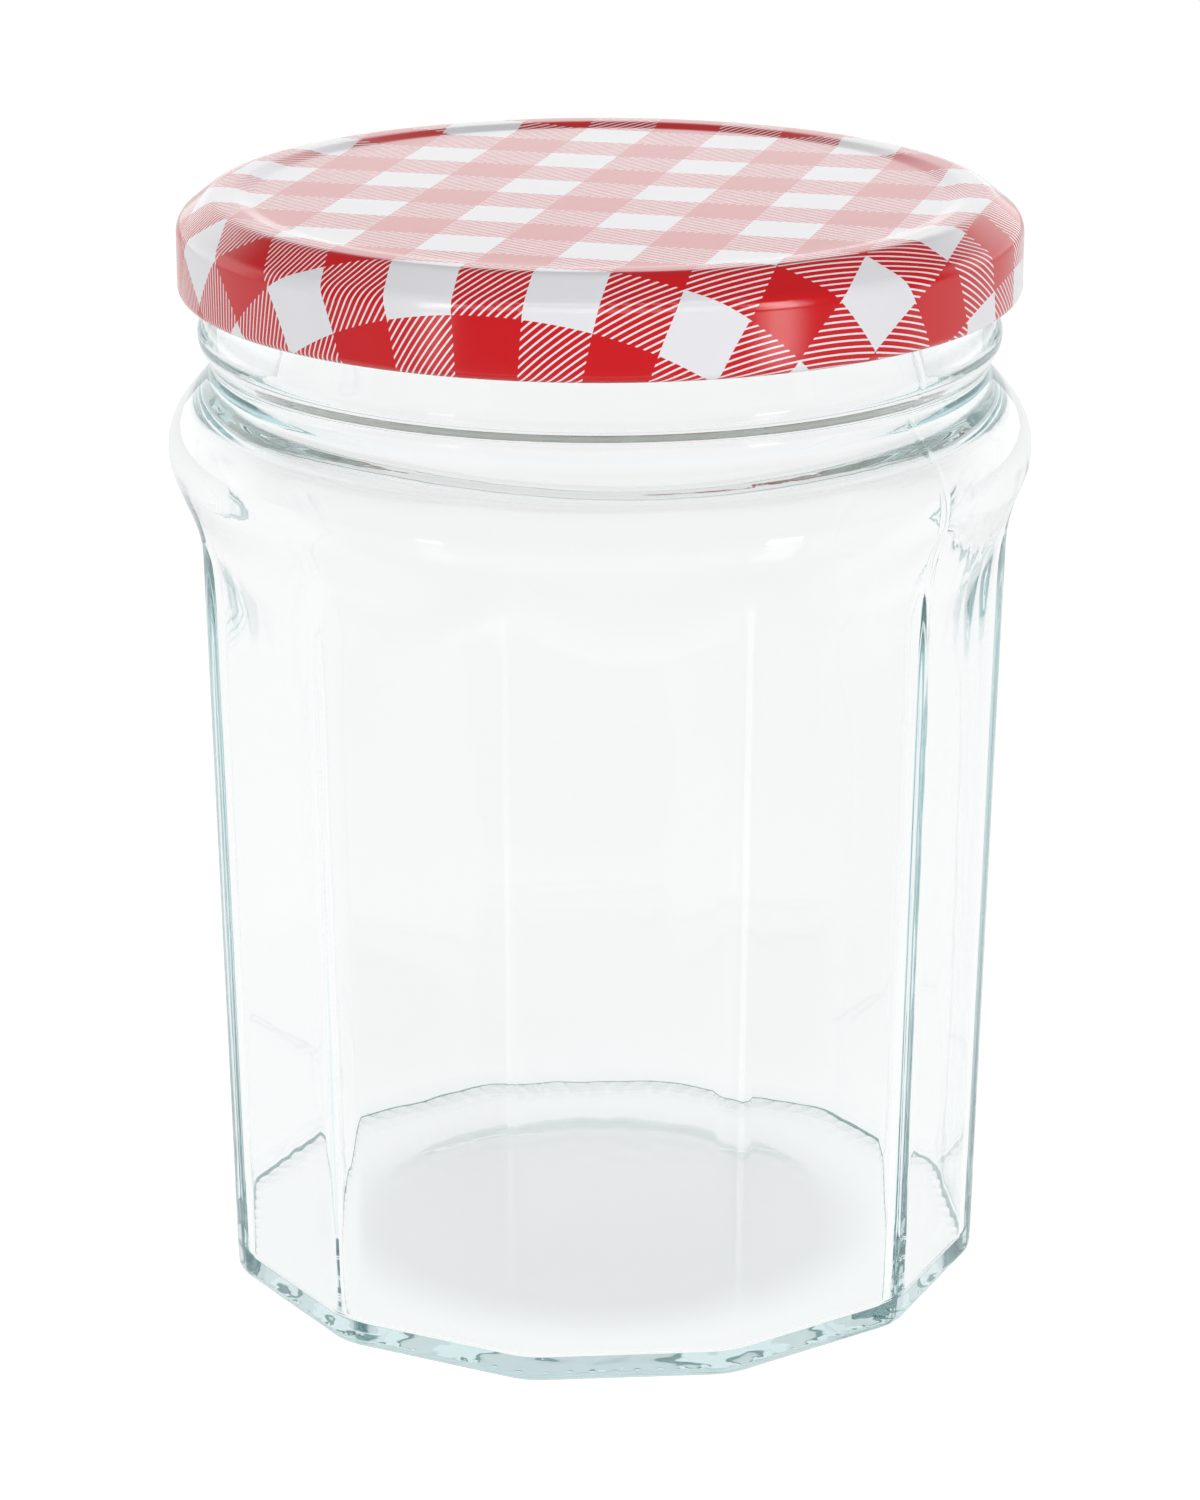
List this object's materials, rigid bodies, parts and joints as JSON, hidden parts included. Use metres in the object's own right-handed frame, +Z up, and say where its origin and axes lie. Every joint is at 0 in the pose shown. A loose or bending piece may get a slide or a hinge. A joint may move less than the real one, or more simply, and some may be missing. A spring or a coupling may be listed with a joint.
{
  "type": "glass jar",
  "caption": "Clear faceted glass preserving jar with a round shoulder, empty, closed by a red and white checked sheet-metal lid that twists off.",
  "frame": {"origin": "middle of the base, on the plane that the jar stands on", "axes": "+Z up along the jar's axis; one flat of the body faces -Y, which is the front"},
  "size_m": [0.0876, 0.0876, 0.113],
  "materials": {
    "glass": "clear, smooth",
    "printed_metal": "glossy lacquer"
  },
  "bodies": {
    "root": {"jar": "glass", "lid": "printed_metal"}
  },
  "joints": []
}
